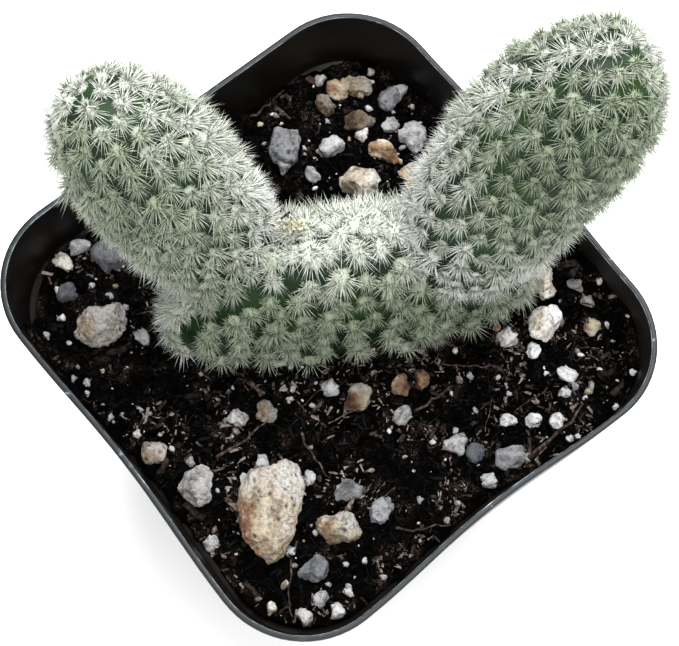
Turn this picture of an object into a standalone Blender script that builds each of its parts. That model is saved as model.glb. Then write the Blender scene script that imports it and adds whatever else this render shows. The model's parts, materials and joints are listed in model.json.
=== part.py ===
"""Potted bunny ears cactus: three tufted pads growing in the soil of a thin square nursery pot.

Metres, +Z up. The origin is the middle of the underside of the pot's base, and -Y is the front.
"""
import math
import random

import bmesh
import bpy
from mathutils import Matrix, Vector, noise
from mathutils.bvhtree import BVHTree
from mathutils.kdtree import KDTree

MM = 0.001
CLEARANCE = 0.35 * MM

# Pot: a 2.5 inch square nursery pot of soft plastic, turned on the spot and a little out of square
POT_TURN = math.radians(38.4)
POT_HEIGHT = 57.0 * MM
RIM_SIDE, RIM_CORNER = 64.0 * MM, 11.8 * MM
BASE_SIDE, BASE_CORNER, BASE_FILLET = 46.0 * MM, 9.0 * MM, 0.8 * MM
WALL = 0.7 * MM
LEDGE_DEPTH, LEDGE_RISE, LEDGE_STEP = 10.5 * MM, 0.5 * MM, 0.8 * MM
COLLAR_FLARE = 1.2 * MM
OUT_OF_SQUARE = 0.014
SIDE_BOWS = (0.66 * MM, 0.0, -0.73 * MM, -1.0 * MM)
SIDE_STEPS, CORNER_STEPS = 4, 6
DRAIN_RADIUS, DRAIN_OFFSET = 3.2 * MM, 13.5 * MM

# Soil: fills the pot to just over the ledge, with a lumpy top
SOIL_LEVEL = 47.7 * MM
LUMP_HEIGHT, LUMP_LENGTH = 1.1 * MM, 8.0 * MM
CRUMB_HEIGHT, CRUMB_LENGTH = 0.55 * MM, 3.2 * MM
TERRAIN_SIDE, TERRAIN_STEPS = 74.0 * MM, 24

# Tufts of short bristles: one on each areole, larger and fewer than on the living plant
AREOLE_RADIUS, AREOLE_RISE = 0.95 * MM, 0.6 * MM
BRISTLE_LENGTH, SHORTEST_BRISTLE = 2.3 * MM, 0.8
BRISTLE_SLANT = 0.6
TUFT_REACH, TUFT_SPREAD = 2.8 * MM, 2.0 * MM
SMALLEST_TUFT = 0.35
HALF_WAY = 0.46

# Areoles: begun on a golden-angle spiral and pushed apart over the pad's smooth skin
GOLDEN_TURN = (3 - math.sqrt(5)) / 2
SKIN_RINGS, SKIN_STEPS = 36, 48
EVENING_STEPS, PUSH_RANGE, PUSH_SHARE = 60, 1.6, 0.12
NECK_CORNERS = 10

# Roots: one taproot with side roots, each a run of (place, radius)
ROOT_CROWN = ((2.6, 2.4, 35.5), 2.7)
TAPROOT = (((2.6, 2.3, 29.0), 1.7), ((2.2, 2.0, 21.0), 1.1), ((3.0, 1.4, 12.0), 0.6))
SIDE_ROOTS = (
    (((9.5, 5.5, 25.5), 0.9), ((16.5, 7.5, 20.5), 0.5)),
    (((-4.5, 5.0, 25.0), 0.9), ((-11.5, 8.5, 19.5), 0.5)),
    (((-0.5, -5.5, 24.0), 0.8), ((-4.0, -13.0, 18.5), 0.5)),
)

# Perlite stones: middle on the ground (x, y), length, width and height, turn, colour
WHITE, CREAM, TAN, GREY = (0.80, 0.80, 0.77), (0.75, 0.66, 0.48), (0.50, 0.35, 0.18), (0.46, 0.49, 0.53)
STONES = (
    (-6.8, -23.2, 12.4, 8.4, 6.6, 80, CREAM),
    (1.5, -25.1, 6.2, 4.4, 3.8, -10, CREAM),
    (2.6, -20.2, 4.1, 3.2, 2.8, 10, GREY),
    (6.7, -22.9, 4.0, 3.2, 3.0, 70, GREY),
    (-1.5, -30.0, 4.6, 3.7, 3.2, 15, GREY),
    (-28.6, 0.6, 7.6, 5.8, 5.0, 20, CREAM),
    (-27.7, 10.6, 6.2, 5.4, 4.6, 50, GREY),
    (-33.2, 5.6, 3.7, 3.2, 2.6, 120, GREY),
    (-21.6, -15.6, 3.8, 3.0, 2.8, 10, CREAM),
    (-15.9, -20.1, 6.0, 4.8, 3.6, 80, GREY),
    (-7.5, -10.4, 3.4, 2.7, 2.4, 60, CREAM),
    (3.7, -8.6, 4.4, 3.6, 3.2, 30, CREAM),
    (27.6, 0.8, 5.6, 4.4, 3.8, 75, WHITE),
    (27.8, 7.0, 5.2, 3.6, 3.2, 100, CREAM),
    (18.2, -15.8, 3.1, 2.5, 2.4, 60, GREY),
    (22.8, -16.3, 4.4, 3.4, 3.2, 25, WHITE),
    (-5.8, 25.2, 7.4, 4.3, 3.8, 80, GREY),
    (3.6, 34.0, 4.6, 3.2, 3.0, 0, CREAM),
    (-0.4, 31.2, 4.0, 3.0, 3.0, 110, TAN),
    (4.2, 28.9, 4.6, 3.4, 3.0, 20, TAN),
    (8.1, 32.1, 4.4, 3.2, 3.2, 65, GREY),
    (0.5, 25.5, 5.0, 2.8, 2.6, 25, WHITE),
    (6.9, 25.0, 3.7, 3.3, 3.0, 0, TAN),
    (10.9, 22.1, 3.2, 2.9, 2.8, 0, TAN),
    (4.0, 20.5, 6.4, 4.6, 3.8, 0, CREAM),
    (11.2, 27.1, 5.0, 4.2, 3.6, 95, WHITE),
)
STONE_ROUGHNESS, STONE_LUMPS, STONE_VARIETY = 0.30, 1.3, 3.7
STONE_LIFT, FINE_STONE = 0.12, 7.5


def remove_scene_objects():
    for thing in list(bpy.data.objects):
        bpy.data.objects.remove(thing, do_unlink=True)


def new_collection(name):
    group = bpy.data.collections.new(name)
    bpy.context.scene.collection.children.link(group)
    return group


def new_material(name, colour, roughness):
    material = bpy.data.materials.new(name)
    material.use_nodes = True
    shader = material.node_tree.nodes["Principled BSDF"]
    shader.inputs["Base Color"].default_value = (*colour, 1.0)
    shader.inputs["Roughness"].default_value = roughness
    return material


def new_object(name, bm, group, material=None, frame=None):
    """An object made of a bmesh, in its group, with its material and its place in the world."""
    mesh = bpy.data.meshes.new(name)
    bm.to_mesh(mesh)
    bm.free()
    thing = bpy.data.objects.new(name, mesh)
    if material:
        mesh.materials.append(material)
    if frame:
        thing.matrix_world = frame
    group.objects.link(thing)
    return thing


def hide_cutter(thing):
    thing.hide_render = True
    thing.display_type = "WIRE"
    return thing


def grown_copy(thing, group):
    """A cutter that is the thing grown by the clearance, for the hollow that holds it."""
    copy = bpy.data.objects.new(thing.name + " hollow", thing.data.copy())
    copy.matrix_world = thing.matrix_world
    group.objects.link(copy)
    for source in thing.modifiers:
        if source.type in {"SKIN", "SUBSURF"}:
            repeat = copy.modifiers.new(source.name, source.type)
            if source.type == "SUBSURF":
                repeat.levels = repeat.render_levels = source.levels
    grow = copy.modifiers.new("Grow", "DISPLACE")
    grow.strength, grow.mid_level = CLEARANCE, 0.0
    return hide_cutter(copy)


def cut(thing, operation, cutter=None, cutters=None):
    step = thing.modifiers.new(operation.title(), "BOOLEAN")
    step.operation, step.solver = operation, "EXACT"
    if cutters:
        step.operand_type, step.collection = "COLLECTION", cutters
    else:
        step.object = cutter


def loft(bm, rings, open_top=False):
    """A wall through closed rings with like counts, low to high, with a floor and, if closed, a lid."""
    loops = [[bm.verts.new(point) for point in ring] for ring in rings]
    count = len(loops[0])
    for low, high in zip(loops, loops[1:]):
        for i in range(count):
            j = (i + 1) % count
            bm.faces.new((low[i], low[j], high[j], high[i]))
    bm.faces.new(reversed(loops[0]))
    if not open_top:
        bm.faces.new(loops[-1])


def pot_ring(side, corner, z, bow_share):
    """The pot's outline at one height: a square with round corners and gently bowed sides."""
    straight = side / 2 - corner
    points = []
    for quarter, bow in enumerate(SIDE_BOWS):
        to_side = Matrix.Rotation(math.radians(90 * quarter), 3, "Z")
        for i in range(SIDE_STEPS + 1):
            share = 2 * i / SIDE_STEPS - 1
            swell = bow * bow_share * math.cos(share * math.pi / 2) ** 2
            points.append(to_side @ Vector((side / 2 + swell, share * straight, 0)))
        for i in range(1, CORNER_STEPS):
            angle = math.pi / 2 * i / CORNER_STEPS
            arm = Vector((math.cos(angle), math.sin(angle), 0)) * corner
            points.append(to_side @ (Vector((straight, straight, 0)) + arm))
    turn = Matrix.Rotation(POT_TURN, 3, "Z")
    stretch = Matrix.Diagonal((1 - OUT_OF_SQUARE, 1 + OUT_OF_SQUARE, 1))
    return [turn @ stretch @ point + Vector((0, 0, z)) for point in points]


def wall_side(z):
    """Outer side and corner radius of the pot's tapering body at a height below the ledge."""
    share = z / (POT_HEIGHT - LEDGE_DEPTH)
    top_side = RIM_SIDE - 2 * (COLLAR_FLARE + LEDGE_STEP)
    return BASE_SIDE + (top_side - BASE_SIDE) * share, BASE_CORNER + (RIM_CORNER - BASE_CORNER) * share


def make_pot(group, cutters):
    """A thin moulded shell: flat floor, tapered body, stacking ledge, upright collar, corner drain holes."""
    ledge = POT_HEIGHT - LEDGE_DEPTH
    body_side, body_corner = wall_side(ledge)
    foot_side, foot_corner = wall_side(BASE_FILLET)
    sections = (
        (BASE_SIDE - 2 * BASE_FILLET, BASE_CORNER - BASE_FILLET, 0.0),
        (foot_side, foot_corner, BASE_FILLET),
        (body_side, body_corner, ledge),
        (body_side + 2 * LEDGE_STEP, RIM_CORNER, ledge + LEDGE_RISE),
        (RIM_SIDE, RIM_CORNER, POT_HEIGHT),
    )
    bm = bmesh.new()
    loft(bm, [pot_ring(side, corner, z, z / POT_HEIGHT) for side, corner, z in sections], open_top=True)
    pot = new_object("pot", bm, group, new_material("black soft plastic", (0.012, 0.013, 0.015), 0.45))
    shell = pot.modifiers.new("Wall", "SOLIDIFY")
    shell.thickness, shell.offset, shell.use_even_offset = WALL, -1.0, True
    for i in range(4):
        corner_place = Matrix.Rotation(POT_TURN + math.radians(45 + 90 * i), 4, "Z")
        place = corner_place @ Matrix.Translation((DRAIN_OFFSET * math.sqrt(2), 0, WALL / 2))
        bm = bmesh.new()
        bmesh.ops.create_cone(bm, cap_ends=True, segments=16, radius1=DRAIN_RADIUS,
                              radius2=DRAIN_RADIUS, depth=4 * WALL, matrix=place)
        cut(pot, "DIFFERENCE", hide_cutter(new_object(f"drain cutter {i + 1}", bm, cutters)))
    return pot


def ground(x, y):
    """Height of the soil's lumpy top at a place."""
    place = Vector((x, y, 0))
    lumps = noise.noise(place / LUMP_LENGTH) * LUMP_HEIGHT
    crumbs = noise.noise(place / CRUMB_LENGTH + Vector((7, 3, 5))) * CRUMB_HEIGHT
    return SOIL_LEVEL + lumps + crumbs


def make_soil(group, cutters, hollows):
    """A lumpy block trimmed to the pot's inside, with plain holes for the plant and dishes for stones."""
    bm = bmesh.new()
    bmesh.ops.create_grid(bm, x_segments=TERRAIN_STEPS, y_segments=TERRAIN_STEPS, size=TERRAIN_SIDE / 2,
                          matrix=Matrix.Rotation(POT_TURN, 4, "Z"))
    for vert in bm.verts:
        vert.co.z = ground(vert.co.x, vert.co.y)
    bmesh.ops.triangulate(bm, faces=bm.faces[:])
    rim = [edge for edge in bm.edges if edge.is_boundary]
    skirt = bmesh.ops.extrude_edge_only(bm, edges=rim)["geom"]
    for vert in (part for part in skirt if isinstance(part, bmesh.types.BMVert)):
        vert.co.z = -WALL
    bmesh.ops.holes_fill(bm, edges=[edge for edge in bm.edges if edge.is_boundary])
    bmesh.ops.recalc_face_normals(bm, faces=bm.faces[:])
    soil = new_object("soil", bm, group, new_material("potting soil", (0.012, 0.008, 0.006), 0.95))
    inset = WALL + CLEARANCE
    ledge = POT_HEIGHT - LEDGE_DEPTH
    foot_side, foot_corner = wall_side(inset + BASE_FILLET)
    body_side, body_corner = wall_side(ledge)
    collar_side = body_side + 2 * LEDGE_STEP
    sections = (
        (BASE_SIDE - 2 * BASE_FILLET, BASE_CORNER - BASE_FILLET, inset),
        (foot_side, foot_corner, inset + BASE_FILLET),
        (body_side, body_corner, ledge + inset / 2),
        (collar_side, RIM_CORNER, ledge + LEDGE_RISE + inset),
        (collar_side, RIM_CORNER, POT_HEIGHT),
    )
    bm = bmesh.new()
    loft(bm, [pot_ring(side - 2 * inset, corner, z, z / POT_HEIGHT) for side, corner, z in sections])
    cut(soil, "INTERSECT", hide_cutter(new_object("pot inside", bm, cutters)))
    cut(soil, "DIFFERENCE", cutters=hollows)
    return soil


class Pad:
    """A flattened, rounded body along an axis, with its own frame: X across, Y through, Z to the tip."""

    def __init__(self, base, tip, across, half_width, half_thickness, neck, widest, squareness):
        base, tip = Vector(base) * MM, Vector(tip) * MM
        axis = (tip - base).normalized()
        across = (Vector(across) - axis * Vector(across).dot(axis)).normalized()
        turn = Matrix((across, axis.cross(across), axis)).transposed()
        self.frame = Matrix.Translation(base) @ turn.to_4x4()
        self.length = (tip - base).length
        self.half_width, self.half_thickness = half_width * MM, half_thickness * MM
        self.neck, self.widest, self.squareness = neck, widest, squareness

    def share(self, s):
        """Width at a share of the length, from the base to the tip, as a share of the widest."""
        if s < self.widest:
            fall = 1 - s / self.widest
            return self.neck + (1 - self.neck) * (1 - fall * fall) ** (0.6 if self.neck else 0.5)
        fall = (s - self.widest) / (1 - self.widest)
        return max(0.0, 1 - fall * fall) ** 0.5

    def point(self, s, angle):
        """A place on the skin, on a section that is an ellipse swollen towards a rectangle."""
        power = 2 / self.squareness
        across, through = math.cos(angle), math.sin(angle)
        share = self.share(s)
        return Vector((math.copysign(abs(across) ** power, across) * self.half_width * share,
                       math.copysign(abs(through) ** power, through) * self.half_thickness * share ** 0.8,
                       s * self.length))

    def skin(self):
        """The smooth skin, for nearest places on it."""
        bm = bmesh.new()
        heights = [(1 - math.cos(math.pi * i / SKIN_RINGS)) / 2 for i in range(SKIN_RINGS)]
        angles = [2 * math.pi * j / SKIN_STEPS for j in range(SKIN_STEPS)]
        loft(bm, [[self.point(s, angle) for angle in angles] for s in heights[1:]])
        tree = BVHTree.FromBMesh(bm)
        area = sum(face.calc_area() for face in bm.faces)
        bm.free()
        return tree, area

    def areoles(self, spacing):
        """Places on the skin, begun on the golden-angle spiral that a pad grows in and pushed even."""
        skin, area = self.skin()
        count = round(area / (spacing * spacing * math.sqrt(3) / 2))
        places = []
        for n in range(count):
            s, angle = (n + 0.5) / count, 2 * math.pi * GOLDEN_TURN * n
            flat = Vector((math.cos(angle) * self.half_width, math.sin(angle) * self.half_width, 0))
            places.append(skin.find_nearest(flat * self.share(s) + Vector((0, 0, s * self.length)))[0])
        for _ in range(EVENING_STEPS):
            crowd = KDTree(count)
            for n, place in enumerate(places):
                crowd.insert(place, n)
            crowd.balance()
            moved = []
            for place in places:
                push = Vector()
                for other, _, distance in crowd.find_range(place, PUSH_RANGE * spacing):
                    if distance > 0:
                        push += (place - other) / distance * (PUSH_RANGE * spacing - distance)
                moved.append(skin.find_nearest(place + push * PUSH_SHARE)[0])
            places = moved
        return places


# Pads: base, tip, direction across, half width, half thickness, neck, widest place, squareness
PADS = {
    "mother_pad": Pad((2.6, 2.4, 34.0), (2.6, 5.0, 70.2), (1, 0.15, 0), 22.5, 6.2, 0.0, 0.5, 2.5),
    "left_ear_pad": Pad((-10.5, 4.0, 61.5), (-25.8, 13.1, 91.3), (1, 0, 0.35), 8.6, 7.0, 0.55, 0.6, 2.1),
    "right_ear_pad": Pad((14.5, 5.0, 61.5), (31.7, 16.8, 95.8), (1, 0, -0.35), 9.7, 7.8, 0.55, 0.62, 2.1),
}
AREOLE_SPACING = {"mother_pad": 4.3 * MM, "left_ear_pad": 3.9 * MM, "right_ear_pad": 4.1 * MM}


def pad_hull(pad, places):
    """The pad's skin without tufts: facets strung between its areoles, which are its corners."""
    bm = bmesh.new()
    for place in places:
        bm.verts.new(place)
    if pad.neck:
        for i in range(NECK_CORNERS):
            bm.verts.new(pad.point(0, 2 * math.pi * i / NECK_CORNERS))
    bmesh.ops.convex_hull(bm, input=bm.verts[:])
    bmesh.ops.delete(bm, geom=[vert for vert in bm.verts if not vert.link_faces], context="VERTS")
    bmesh.ops.recalc_face_normals(bm, faces=bm.faces[:])
    return bm


def skin_tree(bm, frame):
    """A pad's plain skin in the world, to measure distances from."""
    world = bm.copy()
    world.transform(frame)
    tree = BVHTree.FromBMesh(world)
    world.free()
    return tree


def distance_outside(tree, place):
    """Distance from a place to a skin, less than zero inside it."""
    nearest, normal, _, distance = tree.find_nearest(place)
    return distance if (place - nearest).dot(normal) > 0 else -distance


def tuft_size(place, other_skins):
    """Share of full size that a tuft has room for beside the other pads and over the soil."""
    beside = min(distance_outside(tree, place) for tree in other_skins)
    above_soil = place.z - ground(place.x, place.y) - 2 * CLEARANCE
    return min(1.0, HALF_WAY * beside / TUFT_REACH, above_soil / TUFT_SPREAD)


def raise_tufts(bm, pad, other_skins, rng):
    """Each areole's corner is cut to a small facet, fanned from a raised middle, and spiked all round."""
    sizes = {vert: tuft_size(pad.frame @ vert.co, other_skins) for vert in bm.verts}
    kept = [vert for vert, size in sizes.items() if size >= SMALLEST_TUFT]
    tufts = [(vert.co.copy(), sizes[vert], min(edge.calc_length() for edge in vert.link_edges))
             for vert in kept]
    facets = bmesh.ops.bevel(bm, geom=kept, affect="VERTICES", offset=AREOLE_RADIUS, segments=1)["faces"]
    bm.normal_update()
    for facet in facets:
        middle = facet.calc_center_median()
        _, size, room = min(tufts, key=lambda tuft: (tuft[0] - middle).length)
        length = min(BRISTLE_LENGTH * size, (HALF_WAY * room - AREOLE_RADIUS / 2) / BRISTLE_SLANT)
        fan = bmesh.ops.poke(bm, faces=[facet], offset=AREOLE_RISE * size)["faces"]
        bm.normal_update()
        for side in fan:
            bmesh.ops.poke(bm, faces=[side], offset=length * rng.uniform(SHORTEST_BRISTLE, 1))
    bmesh.ops.triangulate(bm, faces=[face for face in bm.faces if len(face.verts) > 3])


def make_pads(group, hollows):
    """The old pad stands in the soil, and each ear is trimmed to sit on its top edge."""
    flesh = new_material("cactus flesh and bristles", (0.30, 0.40, 0.22), 0.7)
    hulls = {name: pad_hull(pad, pad.areoles(AREOLE_SPACING[name])) for name, pad in PADS.items()}
    skins = {name: skin_tree(bm, PADS[name].frame) for name, bm in hulls.items()}
    rng = random.Random(12)
    plain_mother = new_object("mother_pad plain", hulls["mother_pad"].copy(), hollows,
                              frame=PADS["mother_pad"].frame)
    mother_hollow = grown_copy(plain_mother, hollows)
    bpy.data.objects.remove(plain_mother)
    for name, bm in hulls.items():
        others = [skin for other, skin in skins.items() if other != name]
        raise_tufts(bm, PADS[name], others, rng)
        pad = new_object(name, bm, group, flesh, PADS[name].frame)
        if PADS[name].neck:
            cut(pad, "DIFFERENCE", mother_hollow)
    return mother_hollow


def make_roots(group, hollows, mother_hollow):
    """A taproot and its side roots, skinned round a few joints and cupped to the old pad's foot."""
    bm = bmesh.new()
    radii = []

    def grow(start, joints):
        for place, radius in joints:
            end = bm.verts.new(Vector(place) * MM)
            radii.append(radius * MM)
            if start:
                bm.edges.new((start, end))
            start = end

    grow(None, (ROOT_CROWN, *TAPROOT))
    bm.verts.ensure_lookup_table()
    fork = bm.verts[1]
    for joints in SIDE_ROOTS:
        grow(fork, joints)
    roots = new_object("roots", bm, group, new_material("dry root", (0.16, 0.09, 0.045), 0.9))
    roots.modifiers.new("Skin", "SKIN")
    smooth = roots.modifiers.new("Round", "SUBSURF")
    smooth.levels = smooth.render_levels = 1
    for joint, radius in zip(roots.data.skin_vertices[0].data, radii):
        joint.radius = (radius, radius)
    roots.data.skin_vertices[0].data[0].use_root = True
    grown_copy(roots, hollows)
    cut(roots, "DIFFERENCE", mother_hollow)


def make_stones(group, hollows):
    """Puffed perlite stones, each lumpy in its own way and sunk to its waist in the soil."""
    materials = {colour: new_material(f"perlite {name}", colour, 0.85) for name, colour in
                 (("white", WHITE), ("cream", CREAM), ("tan", TAN), ("grey", GREY))}
    for number, (x, y, length, width, height, turn, colour) in enumerate(STONES, 1):
        bm = bmesh.new()
        bmesh.ops.create_icosphere(bm, subdivisions=2 if length > FINE_STONE else 1, radius=0.5 * MM)
        for vert in bm.verts:
            place = vert.co.normalized() * STONE_LUMPS + Vector((number * STONE_VARIETY, 0, 0))
            vert.co *= 1 + STONE_ROUGHNESS * noise.noise(place)
            vert.co = Vector((vert.co.x * length, vert.co.y * width, vert.co.z * height))
        middle = Vector((x * MM, y * MM, ground(x * MM, y * MM) + STONE_LIFT * height * MM))
        frame = Matrix.Translation(middle) @ Matrix.Rotation(math.radians(turn), 4, "Z")
        stone = new_object(f"perlite_{number:02d}", bm, group, materials[colour], frame)
        grown_copy(stone, hollows)


remove_scene_objects()
parts = new_collection("potted bunny ears cactus")
cutters = new_collection("cutters")
hollows = new_collection("soil hollows")
make_pot(parts, cutters)
mother_hollow = make_pads(parts, hollows)
make_roots(parts, hollows, mother_hollow)
make_stones(parts, hollows)
make_soil(parts, cutters, hollows)
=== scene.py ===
"""Looks of the potted bunny ears cactus: tufted pads, perlite and dark soil in a thin black pot."""
import json
import math
import random
from collections import Counter
from functools import partial

import bpy
import numpy as np
from mathutils import Matrix, Vector, noise
from mathutils.bvhtree import BVHTree
from mathutils.kdtree import KDTree


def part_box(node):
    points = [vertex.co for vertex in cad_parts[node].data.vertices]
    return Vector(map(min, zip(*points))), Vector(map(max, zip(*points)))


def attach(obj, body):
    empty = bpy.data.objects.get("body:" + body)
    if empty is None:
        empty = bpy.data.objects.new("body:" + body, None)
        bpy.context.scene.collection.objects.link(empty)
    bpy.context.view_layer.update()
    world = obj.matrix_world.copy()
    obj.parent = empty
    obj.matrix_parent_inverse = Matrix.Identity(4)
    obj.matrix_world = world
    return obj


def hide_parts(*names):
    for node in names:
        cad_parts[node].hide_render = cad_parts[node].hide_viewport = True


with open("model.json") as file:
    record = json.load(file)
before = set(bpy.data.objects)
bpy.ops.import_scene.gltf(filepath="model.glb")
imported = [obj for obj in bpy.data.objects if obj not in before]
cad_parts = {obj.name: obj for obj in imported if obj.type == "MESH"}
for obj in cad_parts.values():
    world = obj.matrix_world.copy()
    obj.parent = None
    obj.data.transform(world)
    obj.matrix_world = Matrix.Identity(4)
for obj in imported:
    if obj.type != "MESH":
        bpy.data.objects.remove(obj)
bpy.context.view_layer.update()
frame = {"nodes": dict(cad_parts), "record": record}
bpy.ops.object.select_all(action="DESELECT")
MM = 0.001

# Camera: where the photograph was taken from, 0.23 m from the rim and 72 degrees above the horizon,
# with the lens that gives the rim its measured size and taper.
CAMERA_PLACE = (0.00152, -0.07227, 0.27536)
CAMERA_RISE = math.radians(72.08)
LENS = 100.15


def new_thing(name, data):
    """An object in the scene, to hold a mesh, a curve, a lamp or a camera."""
    thing = bpy.data.objects.new(name, data)
    bpy.context.scene.collection.objects.link(thing)
    return thing


camera = new_thing("camera", bpy.data.cameras.new("camera"))
camera.data.lens = LENS
camera.data.clip_start = 0.01
camera.location = CAMERA_PLACE
camera.rotation_euler = (math.pi / 2 - CAMERA_RISE, 0, 0)
bpy.context.scene.camera = camera


# Pot: a 2.5 inch square nursery pot, injection moulded in soft black polypropylene. The sides have bowed
# in use. The top of the rim is painted a dark bluish grey, with pale lines along its rounded edges, as
# painted reflections, and has a few pale nicks.
POT_TURN = math.radians(38.4)
POT_HEIGHT = 57.0 * MM
RIM_SIDE, RIM_CORNER, CORNER_STEPS = 64.0 * MM, 11.8 * MM, 16
LONG_EDGE, SIDE_CUTS = RIM_SIDE / 3, 17
STRAIGHT_SHARE = 1 - 2 * RIM_CORNER / RIM_SIDE
COLLAR_BOTTOM, COLLAR_SIDE = 47.0 * MM, 61.6 * MM
LEDGE_BOTTOM, BODY_SIDE = 46.5 * MM, 60.0 * MM
BASE_SIDE, BASE_FILLET = 46.0 * MM, 0.8 * MM
OUT_OF_SQUARE = 0.014
SIDE_BOWS = (((1, 0), 0.66 * MM), ((-1, 0), -0.73 * MM), ((0, -1), -1.0 * MM))
POT_WALL = 0.7 * MM
ROUNDED_OVER, SMOOTHED_UNDER = math.radians(50), math.radians(35)
RIM_ROUNDING, RIM_WEAR, WEAR_LENGTH = 0.18 * MM, 0.05 * MM, 2.5 * MM
DRAIN_RADIUS, DRAIN_OFFSET = 3.2 * MM, 13.5 * math.sqrt(2) * MM
SCUFF_LENGTH, HAZE_LENGTH, GRAIN_LENGTH = 1.6 * MM, 9 * MM, 0.35 * MM


def colour(code):
    """A linear colour from its sRGB hex code."""
    channels = [int(code[i:i + 2], 16) / 255 for i in (1, 3, 5)]
    return (*[c / 12.92 if c <= 0.04045 else ((c + 0.055) / 1.055) ** 2.4 for c in channels], 1.0)


def feed(tree, fed, inputs):
    """Gives a node its inputs: other nodes' outputs, sRGB hex codes or plain values."""
    for socket, value in inputs.items():
        if isinstance(value, bpy.types.NodeSocket):
            tree.links.new(value, fed.inputs[socket])
        else:
            fed.inputs[socket].default_value = colour(value) if isinstance(value, str) else value


def node(tree, kind, inputs=None, stops=(), out=0, **settings):
    """Adds a shader node with its settings, its ramp's stops and its inputs, and returns one output. A
    pattern reads Object coordinates."""
    made = tree.nodes.new("ShaderNode" + kind)
    for name, value in settings.items():
        setattr(made, name, value)
    if stops:
        points = made.color_ramp.elements
        for point, (spot, code) in zip(points, (stops[0], stops[-1])):
            point.position, point.color = spot, colour(code)
        for spot, code in stops[1:-1]:
            points.new(spot).color = colour(code)
    if kind in ("TexNoise", "TexVoronoi"):
        feed(tree, made, {"Vector": node(tree, "TexCoord", out="Object")})
    feed(tree, made, inputs or {})
    return made.outputs[out]


def new_finish(name):
    """A material, and the function that adds a node to it."""
    finish = bpy.data.materials.new(name)
    finish.use_nodes = True
    return finish, partial(node, finish.node_tree)


def shade(finish, base, roughness, specular=0.5, ior=1.5, bump=None):
    """Sets a finish's shader. A bump is a strength, a depth and a pattern."""
    tree = finish.node_tree
    inputs = {"Base Color": base, "Roughness": roughness, "Specular IOR Level": specular, "IOR": ior}
    if bump:
        inputs["Normal"] = node(tree, "Bump", dict(zip(("Strength", "Distance", "Height"), bump)))
    feed(tree, tree.nodes["Principled BSDF"], inputs)


def hold(thing):
    """Makes a piece the only one that the operators act on."""
    bpy.ops.object.select_all(action="DESELECT")
    bpy.context.view_layer.objects.active = thing
    thing.select_set(True)


def edit(thing):
    """Opens a piece for editing, with all of it selected."""
    hold(thing)
    bpy.ops.object.mode_set(mode="EDIT")
    bpy.ops.mesh.select_all(action="SELECT")


def leave_edit():
    """Closes editing."""
    bpy.ops.object.mode_set(mode="OBJECT")


def pick(thing, kind, test):
    """Selects only the faces or edges that pass a test, and returns to edit mode."""
    bpy.ops.object.mode_set(mode="EDIT")
    bpy.ops.mesh.select_mode(type={"polygons": "FACE", "edges": "EDGE"}[kind])
    bpy.ops.mesh.select_all(action="DESELECT")
    leave_edit()
    for element in getattr(thing.data, kind):
        element.select = test(element)
    bpy.ops.object.mode_set(mode="EDIT")


def apply_modifier(thing, kind, **settings):
    """Adds a modifier with its settings and applies it."""
    step = thing.modifiers.new(kind.title(), kind)
    for name, value in settings.items():
        setattr(step, name, value)
    hold(thing)
    bpy.ops.object.modifier_apply(modifier=step.name)


def settle(thing):
    """Puts a piece's place, turn and size into its mesh."""
    hold(thing)
    bpy.ops.object.transform_apply(location=True, rotation=True, scale=True)


def set_share(thing, name, values):
    """Stores a number from 0 to 1 for each vertex, or one for them all, for a material to read."""
    if isinstance(values, float):
        values = [values] * len(thing.data.vertices)
    thing.data.attributes.new(name, "FLOAT", "POINT").data.foreach_set("value", values)


def fit(thing, finish, solid=None):
    """Gives a piece its finish, the solid that it replaces and its body."""
    thing.data.materials.append(finish)
    if solid:
        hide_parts(solid)
    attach(thing, "root")


bpy.ops.mesh.primitive_plane_add(size=RIM_SIDE, location=(0, 0, POT_HEIGHT))
pot = bpy.context.object
pot.name = "nursery_pot"
settle(pot)
edit(pot)
bpy.ops.mesh.bevel(offset=RIM_CORNER, segments=CORNER_STEPS, affect="VERTICES")
leave_edit()
corners = [vertex.co.copy() for vertex in pot.data.vertices]
pick(pot, "edges", lambda edge: (corners[edge.vertices[0]] - corners[edge.vertices[1]]).length > LONG_EDGE)
bpy.ops.mesh.subdivide(number_cuts=SIDE_CUTS)
bpy.ops.mesh.select_all(action="SELECT")
sections = ((POT_HEIGHT, RIM_SIDE), (COLLAR_BOTTOM, COLLAR_SIDE), (LEDGE_BOTTOM, BODY_SIDE),
            (BASE_FILLET, BASE_SIDE), (0.0, BASE_SIDE - 2 * BASE_FILLET))
for (high, wide), (low, narrow) in zip(sections, sections[1:]):
    bpy.ops.mesh.extrude_region_move(TRANSFORM_OT_translate={"value": (0, 0, low - high)})
    bpy.ops.transform.resize(value=(narrow / wide, narrow / wide, 1), center_override=(0, 0, low))
leave_edit()
pick(pot, "polygons", lambda face: face.center.z > POT_HEIGHT - RIM_WEAR)
bpy.ops.mesh.delete(type="ONLY_FACE")
bpy.ops.mesh.select_all(action="SELECT")
bpy.ops.mesh.normals_make_consistent(inside=False)
leave_edit()
for vertex in pot.data.vertices:
    place, bowed = vertex.co, vertex.co.copy()
    reach = max(abs(place.x), abs(place.y))
    for (x, y), bow in SIDE_BOWS:
        out, across = Vector((x, y, 0)), place.dot(Vector((-y, x, 0)))
        if reach > 0 and place.dot(out) > 0.999 * reach and abs(across) < STRAIGHT_SHARE * reach:
            share = across / (STRAIGHT_SHARE * reach)
            bowed += out * bow * place.z / POT_HEIGHT * math.cos(share * math.pi / 2) ** 2
    vertex.co = Vector((bowed.x * (1 - OUT_OF_SQUARE), bowed.y * (1 + OUT_OF_SQUARE), place.z))
edit(pot)
bpy.ops.transform.rotate(value=-POT_TURN, orient_axis="Z", center_override=(0, 0, 0))
leave_edit()
apply_modifier(pot, "SOLIDIFY", thickness=POT_WALL, offset=-1.0, use_even_offset=True)
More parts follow.
